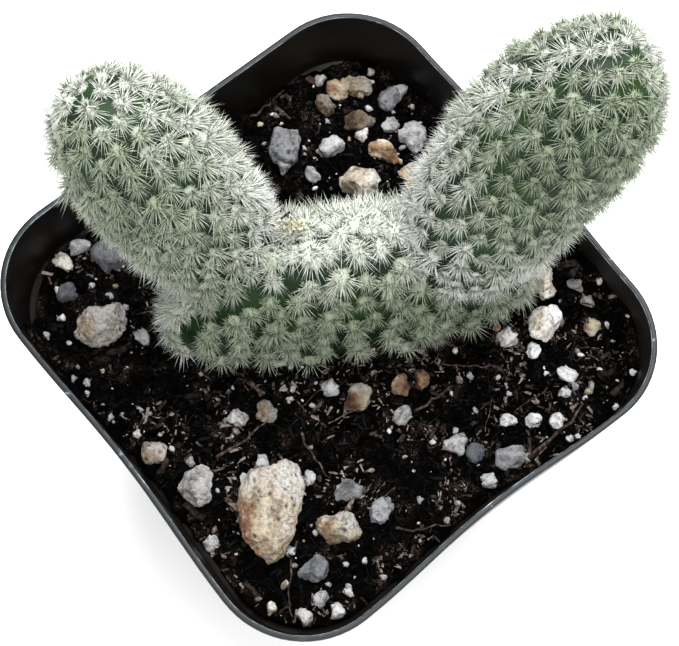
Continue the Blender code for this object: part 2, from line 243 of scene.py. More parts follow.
apply_modifier(pot, "BEVEL", width=RIM_ROUNDING, segments=3, limit_method="ANGLE",
               angle_limit=ROUNDED_OVER)
for corner in range(4):
    angle = POT_TURN + math.radians(45 + 90 * corner)
    bpy.ops.mesh.primitive_cylinder_add(
        vertices=32, radius=DRAIN_RADIUS, depth=4 * POT_WALL,
        location=(DRAIN_OFFSET * math.cos(angle), DRAIN_OFFSET * math.sin(angle), POT_WALL / 2))
    drill = bpy.context.object
    apply_modifier(pot, "BOOLEAN", operation="DIFFERENCE", solver="EXACT", object=drill)
    bpy.data.objects.remove(drill)
# Painted highlight on the rim's rounded edges: full on the inner rounding, less on the outer one
edge_highlight_shares = []
for vertex in pot.data.vertices:
    top = vertex.co.z > POT_HEIGHT - 1.2 * RIM_ROUNDING
    flat = Vector((vertex.co.x, vertex.co.y, 0)).normalized().dot(vertex.normal)
    edge_highlight_shares.append(1.0 if top and flat < -0.3 else 0.45 if top and flat > 0.3 else 0.0)
    if top:
        vertex.co.z -= RIM_WEAR * (1 + noise.noise(vertex.co / WEAR_LENGTH))
set_share(pot, "rubbed", edge_highlight_shares)
bpy.ops.object.shade_smooth_by_angle(angle=SMOOTHED_UNDER)

# Moulded polypropylene: a soft satin sheen, hazed by handling, with painted reflections on the rim: a bluish
# grey top and pale highlight lines along its rounded edges, broken by pale nicks
plastic, add = new_finish("black moulded polypropylene")
height = add("SeparateXYZ", {"Vector": add("TexCoord", out="Object")}, out="Z")
rim = add("MapRange", {"Value": height, "From Min": POT_HEIGHT - 0.35 * MM,
                       "From Max": POT_HEIGHT - 0.12 * MM})
# Painted highlight lines along the rim's rounded edges, broken up by noise, and pale nicks
painted_edge_highlight = add("Attribute", out="Fac", attribute_name="rubbed")
scuffs = add("TexNoise", {"Scale": 1 / SCUFF_LENGTH, "Detail": 6.0, "Roughness": 0.7})
nicks = add("MapRange", {"Value": scuffs, "From Min": 0.6, "From Max": 0.72})
line = add("MapRange", {"Value": scuffs, "From Min": 0.25, "From Max": 0.6,
                        "To Min": 0.4, "To Max": 0.95})
along_edge = add("Math", {0: painted_edge_highlight, 1: line}, operation="MULTIPLY")
marks = add("Math", {0: along_edge, 1: nicks}, operation="MAXIMUM")
rubbed = add("Math", {0: rim, 1: marks}, operation="MULTIPLY")
haze = add("TexNoise", {"Scale": 1 / HAZE_LENGTH, "Detail": 3.0})
body = add("ValToRGB", {"Fac": haze}, [(0.35, "#050404"), (0.75, "#110d09")])
# The rim's colour: a painted bluish reflection on its top, lighter up to the painted highlight lines
edge = add("ValToRGB", {"Fac": rubbed}, [
    (0.0, "#101416"), (0.4, "#262d32"), (0.7, "#616d75"), (0.95, "#aab4bb")])
mixed = add("Mix", {0: rim, 6: body, 7: edge}, out=2, data_type="RGBA")
satin = add("MapRange", {"Value": haze, "To Min": 0.3, "To Max": 0.5})
grain = add("TexNoise", {"Scale": 1 / GRAIN_LENGTH, "Detail": 2.0})
shade(plastic, mixed, satin, specular=0.25, ior=1.49, bump=(0.12, 0.05 * MM, grain))
fit(pot, plastic, "pot")


# Soil: damp peat and bark fibre, pressed to the wall, so lumpy that the pot's ledge shows in its hollows
# along the far sides, and heaped up in the corner at the right.
SOIL_LEVEL = 47.7 * MM
LUMP_HEIGHT, LUMP_LENGTH = 1.1 * MM, 8.0 * MM
CRUMB_HEIGHT, CRUMB_LENGTH = 0.55 * MM, 3.2 * MM
PEAT_HEIGHT, PEAT_LENGTH = 0.8 * MM, 1.5 * MM
BANK_RISE, BANK_SHARE, BANK_WAY = 5.6 * MM, 0.17, 0.3
SOIL_STEPS = 160
SOIL_EDGES = (COLLAR_BOTTOM + 0.05 * MM, LEDGE_BOTTOM - 0.15 * MM, 1.05 * MM)
WALL_GAP = 0.05 * MM
NEAREST_WALL, NEAR_WALL = 26 * MM, 30 * MM


def skin_tree(thing):
    """A finished piece's surface, for rays and nearest places."""
    mesh = thing.data
    return BVHTree.FromPolygons([v.co for v in mesh.vertices], [p.vertices for p in mesh.polygons])


def ground(x, y):
    """Height of the soil's lumps, the same as under the solids."""
    place = Vector((x, y, 0))
    return (SOIL_LEVEL + noise.noise(place / LUMP_LENGTH) * LUMP_HEIGHT
            + noise.noise(place / CRUMB_LENGTH + Vector((7, 3, 5))) * CRUMB_HEIGHT)


pot_skin = skin_tree(pot)


def wall_reach(angle, z):
    """Distance from the pot's axis to the inside of its wall."""
    hit = pot_skin.ray_cast(Vector((0, 0, z)), Vector((math.cos(angle), math.sin(angle), 0)))
    return hit[3]


def keep_inside(thing):
    """Presses whatever would pass through the pot's wall flat against it."""
    for vertex in thing.data.vertices:
        out = math.hypot(vertex.co.x, vertex.co.y)
        if out > NEAREST_WALL:
            wall = wall_reach(math.atan2(vertex.co.y, vertex.co.x), vertex.co.z) - WALL_GAP
            vertex.co.xy *= min(1.0, wall / out)


def bank(x, y, to_wall):
    """How much higher the soil lies where it is heaped against the wall, in the corner at the right."""
    banked = max(0.0, math.cos(1.6 * (math.atan2(y, x) - BANK_WAY)))
    return BANK_RISE * banked ** 0.7 * max(0.0, (to_wall - 1 + BANK_SHARE) / BANK_SHARE) ** 1.2


def soil_height(x, y, to_wall):
    """Soil surface with its peat texture; to_wall runs from 0 at the middle to 1 at the wall."""
    place = Vector((x, y, 0))
    peat = noise.fractal(place / PEAT_LENGTH, 0.7, 2.1, 4) * PEAT_HEIGHT / 2
    return ground(x, y) + peat + bank(x, y, to_wall)


bpy.ops.mesh.primitive_grid_add(x_subdivisions=SOIL_STEPS, y_subdivisions=SOIL_STEPS, size=2,
                                location=(0, 0, 0))
soil = bpy.context.object
soil.name = "potting_soil"
for vertex in soil.data.vertices:
    to_wall = max(abs(vertex.co.x), abs(vertex.co.y))
    angle = math.atan2(vertex.co.y, vertex.co.x) + POT_TURN
    at_wall = soil_height(NEAR_WALL * math.cos(angle), NEAR_WALL * math.sin(angle), 1) - 0.5 * MM
    out = to_wall * (wall_reach(angle, at_wall) - WALL_GAP)
    x, y = out * math.cos(angle), out * math.sin(angle)
    vertex.co = (x, y, soil_height(x, y, to_wall))
faces_at = Counter(key for face in soil.data.polygons for key in face.edge_keys)
pick(soil, "edges", lambda edge: faces_at[edge.key] == 1)
for level in SOIL_EDGES:
    bpy.ops.mesh.extrude_edges_move(TRANSFORM_OT_translate={"value": (0, 0, -0.1 * MM)})
    leave_edit()
    for vertex in soil.data.vertices:
        if vertex.select:
            angle, z = math.atan2(vertex.co.y, vertex.co.x), min(vertex.co.z, level)
            out = wall_reach(angle, z) - WALL_GAP
            vertex.co = (out * math.cos(angle), out * math.sin(angle), z)
    bpy.ops.object.mode_set(mode="EDIT")
bpy.ops.mesh.edge_face_add()
bpy.ops.mesh.select_all(action="SELECT")
bpy.ops.mesh.normals_make_consistent(inside=False)
leave_edit()
bpy.ops.object.shade_smooth()
keep_inside(soil)

# Damp peat: almost black, with brown where fibre shows; its palest flecks are painted glints of a damp gleam,
# as the shader itself is nearly matt
peat, add = new_finish("damp peat")
clods = add("TexNoise", {"Scale": 1 / (2.6 * MM), "Detail": 3.0})
fine = add("TexNoise", {"Scale": 1 / (0.45 * MM), "Detail": 4.0, "Roughness": 0.6,
                        "Distortion": 2.0})
lit = add("Math", {0: clods, 1: fine}, operation="MULTIPLY")
shades = add("ValToRGB", {"Fac": lit}, [
    (0.2, "#000000"), (0.29, "#040302"), (0.35, "#15100d"), (0.43, "#463a33")])
shade(peat, shades, 0.7, specular=0.02, bump=(1.0, 0.3 * MM, fine))
fit(soil, peat, "soil")
soil_skin = skin_tree(soil)


def soil_reach(x, y):
    """Distance from the pot's axis to the wall at the edge of the soil."""
    return wall_reach(math.atan2(y, x), SOIL_LEVEL - 1 * MM + bank(x, y, 1))


def on_soil(x, y, margin=0.2 * MM):
    """The place on the soil's surface under a point, drawn in from the pot's wall to a margin."""
    angle, out = math.atan2(y, x), min(math.hypot(x, y), soil_reach(x, y) - margin)
    start = Vector((out * math.cos(angle), out * math.sin(angle), POT_HEIGHT))
    return soil_skin.ray_cast(start, Vector((0, 0, -1)))[0]


def seen_on_soil(x, y, margin):
    """The place on the soil that the camera sees in line with a point of the mean level, given in mm."""
    eye, level = Vector(CAMERA_PLACE), Vector((x * MM, y * MM, SOIL_LEVEL))
    seen = soil_skin.ray_cast(eye, level - eye)[0] or level
    return on_soil(seen.x, seen.y, margin)


# Roots: a taproot and its side roots, hidden in the soil. Their solid stays and only gets its finish:
# dry root bark, brown and streaked along the wood.
bark, add = new_finish("root bark")
streaks = add("TexNoise", {"Scale": 1 / (1.2 * MM), "Detail": 5.0})
shades = add("ValToRGB", {"Fac": streaks}, [(0.3, "#4a3220"), (0.7, "#7b5a3a")])
shade(bark, shades, 0.85, bump=(0.5, 0.2 * MM, streaks))
frame["nodes"]["roots"].data.materials.clear()
frame["nodes"]["roots"].data.materials.append(bark)


# Perlite stones: volcanic glass puffed by heat into pale, pitted lumps, some stained cream or tan by the
# soil, more so on the front, lower side, which is partly painted shade. Each keeps its solid's form and gains
# dents and pits.
# Its tones are how stained and how bright; how bright is partly the stone's own grey and partly painted
# shade, low where a stone lies in shade.
STONE_TONES = (
    (0.45, 0.5), (0.4, 0.45), (0.0, 0.12), (0.0, 0.2), (0.0, 0.06), (0.3, 0.4), (0.05, 0.05), (0.02, 0.0),
    (0.35, 0.45), (0.12, 0.35), (0.5, 0.18), (0.55, 0.32), (0.2, 1.0), (0.32, 1.0), (0.0, 0.0), (0.02, 0.25),
    (0.03, 0.14), (0.4, 0.35), (0.5, 0.2), (0.6, 0.15), (0.0, 0.14), (0.05, 0.45), (0.6, 0.85), (0.3, 0.45),
    (0.35, 0.65), (0.05, 0.48),
)
STAINED_AND_SHADED_SIDE, RUST_SIDE, RUST_REACH = Vector((-0.5, -0.85, -0.2)), Vector((-0.55, -0.1, 0.4)), 0.4
CHIPS, CHIP_KEEP = 11, (0.7, 0.93)
DENT_SIZE, DENT_DEPTH = 1.4 * MM, 0.36 * MM
PIT_SIZE, PIT_DEPTH, PIT_SHARE = 1.1 * MM, 0.34 * MM, 0.27
LARGE_STONE, FACET_ANGLE = 5.5 * MM, math.radians(18)

# Puffed perlite: a froth of glass, so chalky white and matt, dusted with soil, with dark cracks, darker brown
# deep in its pits and with blotches of rust
perlite, add = new_finish("puffed perlite")
stain, bright, pit_depth = [add("Attribute", out="Fac", attribute_name=name)
                         for name in ("stain", "bright", "along")]
blotches = add("TexNoise", {"Scale": 1 / (2.6 * MM), "Detail": 6.0, "Roughness": 0.65})
spread = add("MapRange", {"Value": blotches, "From Min": 0.32, "From Max": 0.68,
                          "To Min": -0.42, "To Max": 0.45})
some = add("Math", {0: stain, 1: 0.12}, operation="ADD")
spotty = add("Math", {0: spread, 1: some}, operation="MULTIPLY")
stained = add("Math", {0: stain, 1: spotty}, operation="ADD", use_clamp=True)
shaded = add("ValToRGB", {"Fac": stained}, [
    (0.0, "#ebecee"), (0.3, "#e4ddd0"), (0.52, "#d3c3a6"), (0.76, "#a88362"), (1.0, "#67422c")])
greys = add("ValToRGB", {"Fac": bright}, [(0.0, "#5b5e64"), (1.0, "#f4f4f5")])
dusting = add("TexNoise", {"Scale": 1 / (2.1 * MM), "Detail": 7.0, "Roughness": 0.75})
soil_dust = add("ValToRGB", {"Fac": dusting}, [(0.5, "#ffffff"), (0.66, "#6d5a4a")])
lines = add("TexNoise", {"Scale": 1 / (2.4 * MM), "Detail": 3.0, "Distortion": 0.6})
off_line = add("Math", {0: lines, 1: 0.5}, operation="SUBTRACT")
away = add("Math", {0: off_line}, operation="ABSOLUTE")
cracks = add("ValToRGB", {"Fac": away}, [(0.002, "#4c4138"), (0.01, "#ffffff")])
grit = add("TexNoise", {"Scale": 1 / (0.45 * MM), "Detail": 5.0, "Roughness": 0.7})
froth = add("ValToRGB", {"Fac": grit}, [(0.36, "#5d574f"), (0.48, "#e4e2df"), (0.6, "#ffffff")])
for share, layer in ((1.0, greys), (0.8, soil_dust), (0.6, cracks), (0.5, froth)):
    shaded = add("Mix", {0: share, 6: shaded, 7: layer}, out=2, data_type="RGBA", blend_type="MULTIPLY")
pit_darkened = add("Mix", {0: pit_depth, 6: shaded, 7: "#2a1c14"}, out=2, data_type="RGBA")
shade(perlite, pit_darkened, 0.75, specular=0.3, bump=(1.0, 0.25 * MM, grit))


def random_way(rng):
    """A random direction, of random length."""
    return Vector((rng.gauss(0, 1), rng.gauss(0, 1), rng.gauss(0, 1)))


def chip(thing, rng, count, keep):
    """Breaks flat facets off a lump at random planes, each keeping a share of its reach."""
    vertices = thing.data.vertices
    middle = sum((vertex.co for vertex in vertices), Vector()) / len(vertices)
    for _ in range(count):
        way = random_way(rng).normalized()
        reach = max((vertex.co - middle).dot(way) for vertex in vertices) * rng.uniform(*keep)
        for vertex in vertices:
            over = (vertex.co - middle).dot(way) - reach
            if over > 0:
                vertex.co -= way * over


def fill_box(thing, low, high):
    """Draws a lump out until it fills a box, as chips and dents leave it smaller."""
    spots = [vertex.co for vertex in thing.data.vertices]
    least, most = ([end(spot[i] for spot in spots) for i in range(3)] for end in (min, max))
    for vertex in thing.data.vertices:
        vertex.co = [low[i] + (vertex.co[i] - least[i]) / (most[i] - least[i]) * (high[i] - low[i])
                     for i in range(3)]


def roughen(thing, seed):
    """Dents a stone and pits it along its own normals, and stores how deep in a pit each point is."""
    away = Vector((seed * 3.1, seed * 1.7, 0))
    moved, depths = [], []
    for vertex in thing.data.vertices:
        place = vertex.co / DENT_SIZE + away
        dent = noise.noise(place) + 0.5 * noise.noise(place * 2.3) + 0.25 * noise.noise(place * 5.1)
        near = noise.voronoi(vertex.co / PIT_SIZE + away)[0][0]
        pit = max(0.0, PIT_SHARE - near) / PIT_SHARE
        moved.append(vertex.co + vertex.normal * (dent * DENT_DEPTH - pit * PIT_DEPTH))
        depths.append(min(1.0, pit * 1.3))
    for vertex, place in zip(thing.data.vertices, moved):
        vertex.co = place
    set_share(thing, "along", depths)


slots = {part["node"]: part["material_slot"] for part in frame["record"]["subparts"]}
for number, (node_name, slot_name) in enumerate(sorted(slots.items())):
    if not node_name.startswith("perlite"):
        continue
    stone = new_thing(node_name.replace("perlite", "stone"), frame["nodes"][node_name].data.copy())
    edit(stone)
    bpy.ops.mesh.remove_doubles(threshold=0.01 * MM)
    bpy.ops.mesh.tris_convert_to_quads()
    leave_edit()
    low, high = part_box(node_name)
    apply_modifier(stone, "SUBSURF", levels=3, render_levels=3)
    chip(stone, random.Random(number), CHIPS, CHIP_KEEP)
    if max(high - low) > LARGE_STONE:
        apply_modifier(stone, "SUBSURF", levels=1, render_levels=1)
    roughen(stone, number)
    fill_box(stone, low, high)
    bpy.ops.object.shade_smooth_by_angle(angle=FACET_ANGLE)
    stain_share, bright_share = STONE_TONES[int(node_name[-2:]) - 1]
    middle, half = (low + high) / 2, max(high - low) / 2
    patch = middle + RUST_SIDE * half
    stains = []
    for vertex in stone.data.vertices:
        # Stain grows towards the front, lower side: partly the soil's stain, partly painted shade on the side
        # turned from the light
        side = (vertex.co - middle).dot(STAINED_AND_SHADED_SIDE) / half
        rust = math.exp(-((vertex.co - patch).length / (RUST_REACH * half)) ** 2)
        stains.append(min(1.0, max(0.0, stain_share * (1 + 0.5 * side + 0.5 * rust))))
    set_share(stone, "stain", stains)
    set_share(stone, "bright", bright_share)
    stone.data.materials.clear()
    fit(stone, perlite, node_name)


# Perlite grains: the same glass broken small, from specks to grains of 3.6 mm, mixed through the soil. The
# larger ones lie where the photograph shows them: across, back and size in mm, how stained, how bright.
GRAINS = (
    (-34.7, 9.4, 3.1, 0.3, 0.7), (-33.0, 11.7, 3.0, 0.1, 0.4), (9.2, -7.0, 2.8, 0.7, 0.5),
    (11.8, -6.3, 2.8, 0.85, 0.5), (9.4, -11.0, 2.8, 0.1, 0.35), (0.3, -7.4, 2.5, 0.1, 0.5),
    (-11.1, -11.2, 2.8, 0.05, 0.55), (25.9, -2.4, 2.2, 0, 0.9), (22.6, -0.8, 2.8, 0.1, 0.9),
    (30.1, -5.5, 2.8, 0, 1.0), (33.5, 0.7, 2.5, 0.5, 0.7), (33.2, 4.1, 2.1, 0.2, 0.3),
    (15.8, -14.7, 3.6, 0.05, 0.5), (22.5, -11.6, 2.3, 0.05, 0.8), (25.6, -11.6, 2.2, 0, 0.9),
    (28.6, -11.6, 2.2, 0, 0.8), (19.9, -19.2, 2.2, 0, 0.6), (9.6, 34.4, 3.0, 0.05, 0.4),
    (4.3, 33.1, 2.0, 0.6, 0.6), (-1.1, 34.9, 1.8, 0, 0.5), (-2.2, 35.2, 1.5, 1.0, 0.3),
    (8.1, 28.4, 2.5, 0.1, 0.4), (9.9, 21.4, 1.9, 0.5, 0.8), (10.9, 20.4, 1.9, 0.6, 0.9),
    (1.3, 33.4, 3.4, 0.6, 0.7), (-2.7, -36.0, 2.3, 0.1, 0.6), (-6.7, -35.0, 1.8, 0.3, 0.7),
    (1.3, -35.3, 2.1, 0.1, 0.7), (2.7, -33.0, 1.6, 0, 0.6), (-0.7, -33.8, 2.2, 0, 0.5),
    (-14.7, -28.0, 2.2, 0.05, 0.5), (-10.0, -19.1, 1.8, 0, 0.5), (-2.2, -18.9, 2.1, 0.05, 0.5),
    (-4.5, -28.0, 1.6, 0, 0.5), (-8.0, -16.8, 2.1, 0.05, 0.5), (5.7, 34.7, 1.1, 0, 0.7),
    (5.8, 37.2, 1.2, 0.1, 0.4), (4.5, 27.1, 2.0, 0.05, 0.7), (8.3, 23.9, 2.8, 0.75, 0.7),
    (-2.0, 21.4, 2.5, 0.1, 0.35), (-5.7, 22.6, 2.4, 0.1, 0.35), (-0.1, 29.1, 1.0, 0, 0.35),
    (-3.1, 25.3, 0.9, 0, 0.4), (-1.7, 23.7, 0.8, 0, 0.6), (-23.3, -0.8, 2.5, 0, 0.35),
    (-25.7, 3.3, 1.1, 0, 0.35), (-30.0, 6.4, 0.8, 0, 0.6), (-25.3, 9.9, 0.9, 0, 0.4),
    (-35.4, -0.4, 1.2, 0, 0.35), (-32.7, -1.3, 1.0, 0, 0.6), (-31.8, -6.1, 1.1, 0, 0.35),
    (-30.1, -6.6, 1.2, 0, 0.45), (-30.0, -8.0, 0.9, 0, 0.5), (-27.0, -11.1, 1.2, 0, 0.4),
    (-23.6, -13.2, 1.2, 0, 0.8), (-16.9, -16.8, 1.5, 0.2, 0.3), (31.7, 6.3, 2.5, 0.2, 0.2),
    (34.7, 6.9, 1.1, 0.3, 0.7), (38.3, 2.3, 0.6, 0, 0.8), (27.5, -5.3, 0.9, 0, 0.8),
    (29.7, -7.9, 1.8, 0, 0.6), (31.0, -7.0, 1.1, 0, 0.35), (32.2, -8.5, 0.8, 0, 0.7),
    (22.7, -8.0, 0.9, 0, 0.4), (30.1, -13.8, 1.1, 0, 0.55), (31.1, -13.5, 0.8, 0, 0.7),
    (38.4, -5.2, 1.0, 0, 0.75), (36.4, -9.7, 1.0, 0, 0.6), (24.8, -16.6, 0.8, 0.1, 0.5),
    (6.8, -31.1, 1.0, 0, 0.4), (4.6, -29.1, 0.9, 0, 0.5), (11.4, -21.6, 1.1, 0, 0.3),
    (14.7, -24.1, 0.9, 0.1, 0.3), (15.9, -12.8, 1.0, 0.1, 0.4), (17.9, -5.7, 1.1, 0.1, 0.3),
)
SPECKS, SPECK_SIZE = 480, (0.2, 1.2)
GRAIN_KINDS = 7


def read_master(thing):
    """A master shape as plain arrays: its points, its triangles and how far along it each point lies."""
    mesh = thing.data
    mesh.calc_loop_triangles()
    along = np.zeros(len(mesh.vertices))
    if "along" in mesh.attributes:
        mesh.attributes["along"].data.foreach_get("value", along)
    return (np.array([vertex.co for vertex in mesh.vertices]),
            np.array([face.vertices for face in mesh.loop_triangles]), along)


def strew(name, masters, spots, smooth=True):
    """One piece made of copies of the masters, each spot being a master's number, a place and shares."""
    shapes = [read_master(master) for master in masters]
    points, triangles, along, shares, count = [], [], [], [], 0
    for kind, place, share in spots:
        shape, faces, ways = shapes[kind]
        matrix = np.array(place)
        points.append(shape @ matrix[:3, :3].T + matrix[:3, 3])
        triangles.append(faces + count)
        along.append(ways)
        shares.append(np.tile(share, (len(shape), 1)))
        count += len(shape)
    mesh = bpy.data.meshes.new(name)
    mesh.from_pydata(np.concatenate(points), [], np.concatenate(triangles))
    mesh.polygons.foreach_set("use_smooth", np.full(len(mesh.polygons), smooth))
    piece = new_thing(name, mesh)
    columns = np.column_stack((np.concatenate(along), np.concatenate(shares))).T
    for share_name, column in zip(("along", "stain", "bright"), columns):
        set_share(piece, share_name, column)
    return piece


def drop(things):
    """Deletes the masters once they are copied."""
    for thing in things:
        bpy.data.objects.remove(thing)


def rough_lump(seed, subdivisions, roughness):
    """A lumpy ball of 1 mm, the master of grains and crumbs."""
    bpy.ops.mesh.primitive_ico_sphere_add(subdivisions=subdivisions, radius=0.5 * MM, location=(0, 0, 0))
    lump = bpy.context.object
    chip(lump, random.Random(seed), 9, (0.6, 0.9))
    for vertex in lump.data.vertices:
        way = vertex.co.normalized()
        swell = noise.noise(way * 1.6 + Vector((seed * 5.3, 0, 0))) + 0.4 * noise.noise(
            way * 4.5 + Vector((0, seed * 2.9, 0)))
        vertex.co *= 1 + roughness * swell
    fill_box(lump, [-0.5 * MM] * 3, [0.5 * MM] * 3)
    return lump


def tumbled(rng):
    """A random turn."""
    axis = random_way(rng).normalized()
    return Matrix.Rotation(rng.uniform(0, 2 * math.pi), 4, axis)


def spun(rng):
    """A random turn about the upright."""
    return Matrix.Rotation(rng.uniform(0, 6.3), 4, "Z")


def tipped(rng, axis, most):
    """A random lean about one axis, up to a most to either side."""
    return Matrix.Rotation(rng.uniform(-most, most), 4, axis)


def laid(place, lift, turn, sizes):
    """Where a copy of a master lies: its place and how far over it, its turn and its sizes."""
    return Matrix.Translation(place + Vector((0, 0, lift))) @ turn @ Matrix.Diagonal((*sizes, 1))


def random_ground(rng, margin=1.2 * MM):
    """A random place on the soil, clear of the pot's wall by a margin."""
    while True:
        x, y = rng.uniform(-42, 42) * MM, rng.uniform(-42, 42) * MM
        if math.hypot(x, y) < soil_reach(x, y) - margin:
            return on_soil(x, y)


rng = random.Random(31)
masters = [rough_lump(seed, 3, 0.4) for seed in range(GRAIN_KINDS)]
masters += [rough_lump(seed + 20, 1, 0.3) for seed in range(GRAIN_KINDS)]
spots = []
for x, y, size, stain_share, bright_share in GRAINS:
    place = seen_on_soil(x, y, size * MM / 2)
    sizes = (size, size * rng.uniform(0.7, 0.95), size * rng.uniform(0.6, 0.8))
    matrix = laid(place, 0.2 * size * MM, spun(rng), sizes)
    spots.append((rng.randrange(GRAIN_KINDS), matrix, (stain_share, 0.85 * bright_share)))
for _ in range(SPECKS):
    place = random_ground(rng)
    size = SPECK_SIZE[0] + (SPECK_SIZE[1] - SPECK_SIZE[0]) * rng.random() ** 2.5
    matrix = laid(place, 0.15 * size * MM, tumbled(rng),
                  (size, size * rng.uniform(0.6, 1), size * rng.uniform(0.5, 0.9)))
    spots.append((GRAIN_KINDS + rng.randrange(GRAIN_KINDS), matrix,
                  (rng.choice((0.0, 0.0, 0.1, 0.5)), rng.uniform(0.15, 0.9))))
grains = strew("perlite_grains", masters, spots)
keep_inside(grains)
drop(masters)
fit(grains, perlite)


# Soil crumbs: peat that clings in dark grains, with splinters of it, all loose on the surface. Their paler
# tones are partly peat that has dried and partly painted glints of the wet peat's sheen. They are darker in
# patches, which is painted shade, and darker behind the plant.
CRUMBS, CRUMB_SIZES = 1300, (0.6, 1.7)
GRIT, GRIT_SIZES = 15000, (0.45, 1.5)
CRUMB_KINDS = 6
CLOD_LENGTH = 4.2 * MM
DARKER_BEHIND_FROM, DARKER_BEHIND_OVER, DARKER_BEHIND = 8 * MM, 8 * MM, 0.35
noise.seed_set(31)  # without a seed noise_vector follows the clock, and each run would bend things otherwise

# Peat crumbs: from black to a greyish brown, partly peat that air has dried and partly painted glints, with
# hardly any sheen of their own
crumb_peat, add = new_finish("peat crumbs")
bright = add("Attribute", out="Fac", attribute_name="bright")
mottle = add("TexNoise", {"Scale": 1 / (0.6 * MM), "Detail": 6.0, "Roughness": 0.7})
level = add("Math", {0: bright, 1: mottle}, operation="MULTIPLY")
shades = add("ValToRGB", {"Fac": level}, [
    (0.06, "#000000"), (0.2, "#080605"), (0.36, "#38302d"), (0.55, "#7f7671")])
shade(crumb_peat, shades, 0.4, specular=0.03, bump=(0.8, 0.12 * MM, mottle))


def grit_lump(seed):
    """A three-sided splinter of 1 mm, the master of the finest peat."""
    bpy.ops.mesh.primitive_cylinder_add(vertices=3, radius=0.5 * MM, depth=MM, location=(0, 0, 0),
                                        rotation=(0, math.pi / 2, 0))
    splinter = bpy.context.object
    settle(splinter)
    for vertex in splinter.data.vertices:
        vertex.co += noise.noise_vector(vertex.co / (0.4 * MM) + Vector((seed * 3.7, 0, 0))) * 0.25 * MM
    return splinter


def dapple(place):
    """How pale loose soil is: darker in patches that stand for hollows, which is painted shade, paler in
    clods, and darker behind the plant.
    """
    behind = min(1.0, max(0.0, (place.y - DARKER_BEHIND_FROM) / DARKER_BEHIND_OVER))
    return min(1.35, max(0.12, 0.72 + 1.7 * noise.noise(place / CLOD_LENGTH))) * (1 - DARKER_BEHIND * behind)


rng = random.Random(7)
masters = [rough_lump(seed + 60, 1, 0.5) for seed in range(CRUMB_KINDS)]
masters += [grit_lump(seed) for seed in range(CRUMB_KINDS)]
spots = []
for n in range(CRUMBS + GRIT):
    crumb = n < CRUMBS
    first, (least, most) = (0, CRUMB_SIZES) if crumb else (CRUMB_KINDS, GRIT_SIZES)
    size = least + (most - least) * rng.random() ** 2.5
    turn = tumbled(rng) if crumb else spun(rng) @ tipped(rng, "Y", 0.5)
    wide = size * (rng.uniform(0.4, 0.7) if crumb else rng.uniform(0.18, 0.4))
    place = random_ground(rng, 0.3 * MM)
    # Paler crumbs and splinters: partly dried peat, partly painted glints of the wet peat's sheen
    bright_share = min(1.0, (0.12 + 0.88 * rng.random() ** 2.2) * dapple(place))
    spots.append((first + rng.randrange(CRUMB_KINDS), laid(place, 0, turn, (size, wide, wide * 0.8)),
                  (0.0, bright_share)))
crumbs = strew("soil_crumbs", masters, spots, smooth=False)
keep_inside(crumbs)
drop(masters)
fit(crumbs, crumb_peat)


# Bark and fibre: shreds of composted bark and coir strands that lie flat among the crumbs. The larger flakes,
# by place, length and turn, and the twigs, by three places and a radius, lie where the photograph shows them.
SHREDS, SHRED_LENGTHS = 190, (0.9, 3.4)
FIBRES, FIBRE_LENGTHS = 420, (1.5, 6.0)
LITTER_KINDS, TWIG_STEPS = 6, 14
FLAKES = (
    (31.1, 12.1, 4.2, 0.4), (32.9, 10.9, 4.6, -0.5), (34.6, 11.6, 3.6, -1.0), (32.0, 9.6, 3.8, 0.2),
    (34.8, 8.2, 3.0, 0.9), (35.7, -5.1, 3.4, 0.3), (38.6, -8.5, 3.0, 0.8), (-26.4, -2.5, 2.8, 0.2),
    (16.0, -8.1, 3.2, 1.1), (-9.3, -32.6, 2.8, -0.8), (-21.1, -18.2, 3.0, 1.2), (-16.9, -24.0, 3.2, -0.6),
)
TWIGS = (
    ((-3.7, -26.7), (-5.4, -32.1), (-4.1, -36.2), 0.16),
    ((-13.8, -16.3), (-10.0, -14.5), (-7.1, -11.2), 0.22),
    ((8.3, -25.4), (11.9, -25.1), (15.2, -24.7), 0.18), ((11.0, -10.2), (13.5, -8.5), (15.9, -7.0), 0.2),
    ((-10.2, 29.4), (-8.0, 31.2), (-5.8, 33.4), 0.2), ((24.8, -16.4), (28.6, -13.8), (31.6, -9.6), 0.3),
    ((14.5, -4.2), (18.2, -4.8), (21.0, -4.2), 0.14), ((-3.0, -13.0), (-2.2, -16.4), (0.4, -18.8), 0.18),
)

# Bark fibre: composted wood, dark brown when damp and a streaked grey brown where it has dried
fibre_bark, add = new_finish("bark fibre")
bright = add("Attribute", out="Fac", attribute_name="bright")
streaks = add("TexNoise", {"Scale": 1 / (0.5 * MM), "Detail": 5.0})
level = add("Math", {0: bright, 1: streaks}, operation="MULTIPLY")
shades = add("ValToRGB", {"Fac": level}, [
    (0.05, "#010101"), (0.22, "#0b0807"), (0.4, "#312824"), (0.62, "#6f635b")])
shade(fibre_bark, shades, 0.6, specular=0.05, bump=(0.6, 0.08 * MM, streaks))


def shred(seed):
    """A torn flake of bark, 1 mm long before it is sized."""
    bpy.ops.mesh.primitive_cube_add(size=MM, location=(0, 0, 0))
    flake = bpy.context.object
    flake.scale = (1, 0.26, 0.12)
    settle(flake)
    edit(flake)
    bpy.ops.mesh.subdivide(number_cuts=2)
    leave_edit()
    for vertex in flake.data.vertices:
        place = vertex.co / (0.45 * MM) + Vector((seed * 4.1, 0, 0))
        vertex.co += noise.noise_vector(place) * 0.15 * MM
        vertex.co.z += 0.25 * vertex.co.x ** 2 / MM * (seed % 3 - 1)
    return flake


